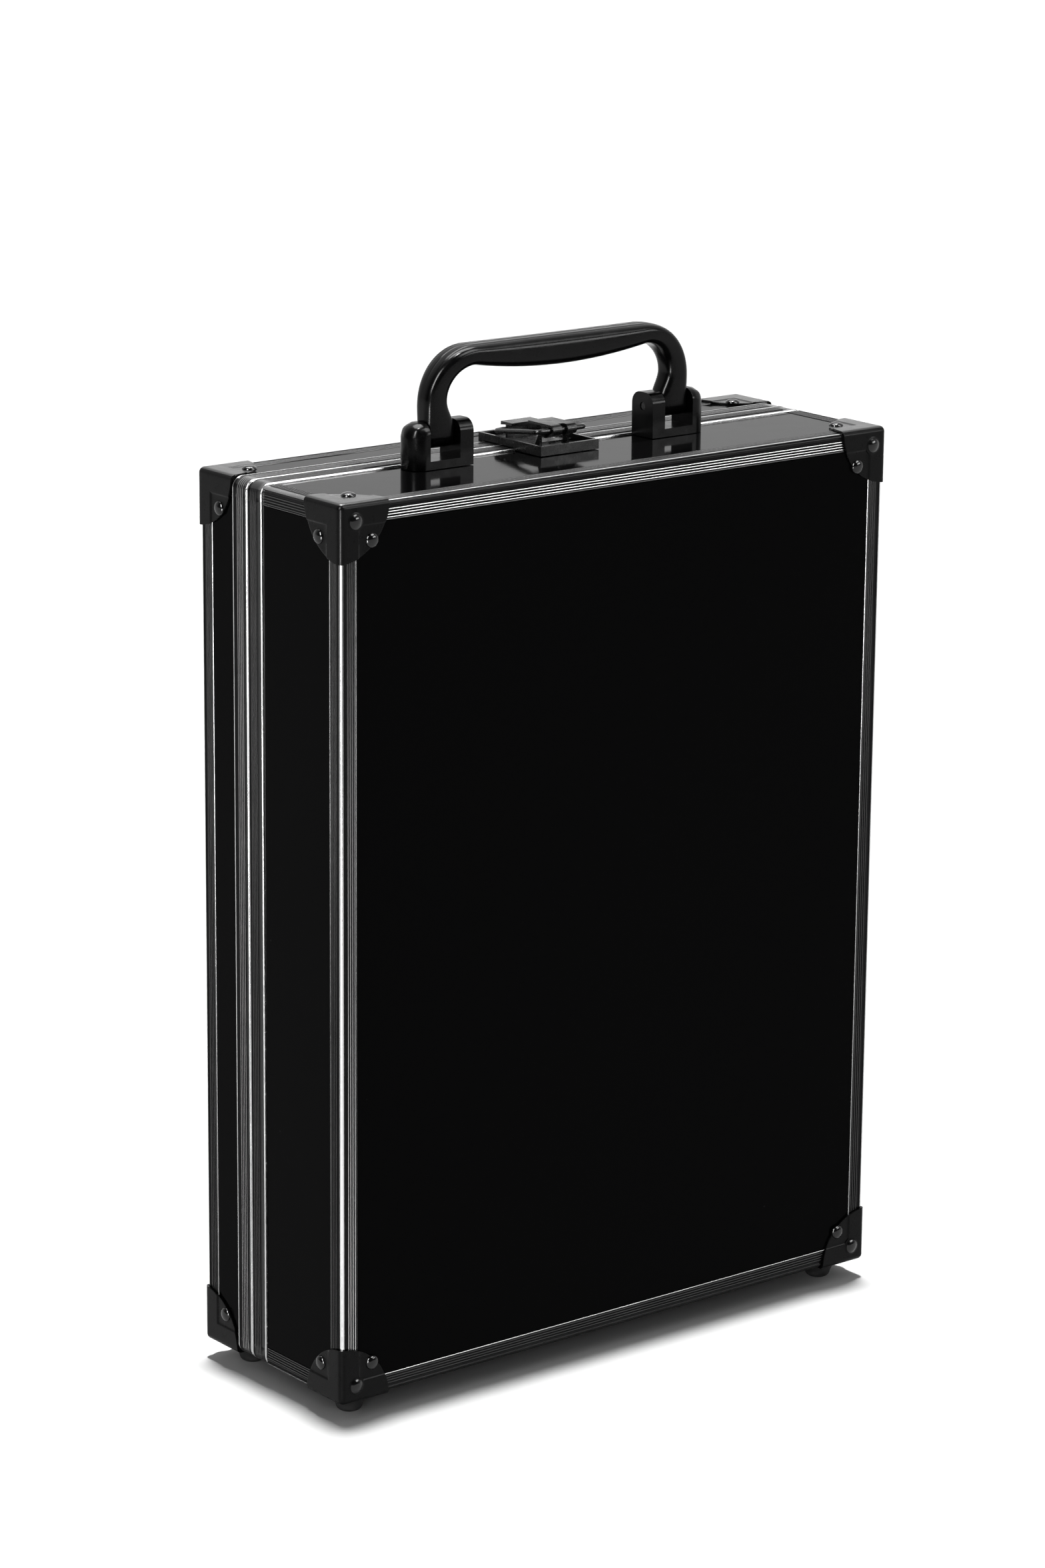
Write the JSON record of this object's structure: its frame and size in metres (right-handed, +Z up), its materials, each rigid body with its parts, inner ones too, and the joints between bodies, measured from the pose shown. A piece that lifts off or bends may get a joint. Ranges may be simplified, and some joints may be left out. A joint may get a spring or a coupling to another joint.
{
  "type": "attache case",
  "caption": "Slim rectangular framed carrying case with ridged metal edge profiles, capped corners, rubber feet, folding handle, draw latch and a hinged lid.",
  "frame": {"origin": "on the floor under the middle of the case, at the bottom centre of its bounding box, standing on its feet", "axes": "+X across the width, +Y through the depth from the body towards the lid, +Z up towards the handle"},
  "size_m": [0.3024, 0.1046, 0.4506],
  "materials": {
    "panel": "high gloss black, smooth",
    "profile": "black anodised, drawn ridges",
    "hardware": "black satin coat on pressed steel",
    "handle": "moulded black, semi-gloss",
    "rubber": "dark grey moulded rubber",
    "lining": "black felt over board"
  },
  "bodies": {
    "body": {"body_bottom_left_cap": "hardware", "body_bottom_left_profile": "profile", "body_bottom_panel": "panel", "body_bottom_right_cap": "hardware", "body_bottom_right_profile": "profile", "body_front_bottom_profile": "profile", "body_front_left_profile": "profile", "body_front_panel": "panel", "body_front_right_profile": "profile", "body_front_top_profile": "profile", "body_left_foot": "rubber", "body_left_panel": "panel", "body_lining": "lining", "body_right_foot": "rubber", "body_right_panel": "panel", "body_rim": "profile", "body_top_left_cap": "hardware", "body_top_left_profile": "profile", "body_top_panel": "panel", "body_top_right_cap": "hardware", "body_top_right_profile": "profile", "handle_left_bracket": "handle", "handle_left_pin": "hardware", "handle_right_bracket": "handle", "handle_right_pin": "hardware", "hinge_left_body_leaf": "hardware", "hinge_left_pin": "hardware", "hinge_right_body_leaf": "hardware", "hinge_right_pin": "hardware", "latch_base": "hardware", "latch_lever_pin": "hardware"},
    "lid": {"hinge_left_lid_leaf": "hardware", "hinge_right_lid_leaf": "hardware", "latch_keeper": "hardware", "lid_back_bottom_profile": "profile", "lid_back_left_profile": "profile", "lid_back_panel": "panel", "lid_back_right_profile": "profile", "lid_back_top_profile": "profile", "lid_bottom_left_cap": "hardware", "lid_bottom_left_profile": "profile", "lid_bottom_panel": "panel", "lid_bottom_right_cap": "hardware", "lid_bottom_right_profile": "profile", "lid_left_foot": "rubber", "lid_left_panel": "panel", "lid_lining": "lining", "lid_right_foot": "rubber", "lid_right_panel": "panel", "lid_rim": "profile", "lid_top_left_cap": "hardware", "lid_top_left_profile": "profile", "lid_top_panel": "panel", "lid_top_right_cap": "hardware", "lid_top_right_profile": "profile"},
    "handle": {"handle_grip": "handle"},
    "lever": {"latch_lever": "hardware"},
    "bail": {"latch_bail": "hardware"}
  },
  "joints": [
    {"name": "lid_open", "type": "hinge", "parent": "body", "child": "lid", "pos_m": [0, 0.0155, 0.0064], "axis": [-1, 0, 0], "range_deg": [0, 100]},
    {"name": "handle_tilt", "type": "hinge", "parent": "body", "child": "handle", "pos_m": [0, -0.00245, 0.4134], "axis": [1, 0, 0], "range_deg": [-78, 80]},
    {"name": "latch_lever_lift", "type": "hinge", "parent": "body", "child": "lever", "pos_m": [0, -0.0042, 0.4081], "axis": [1, 0, 0], "range_deg": [0, 112]},
    {"name": "latch_bail_swing", "type": "hinge", "parent": "lever", "child": "bail", "pos_m": [0, -0.00777, 0.4094], "axis": [1, 0, 0], "range_deg": [0, 66]}
  ]
}
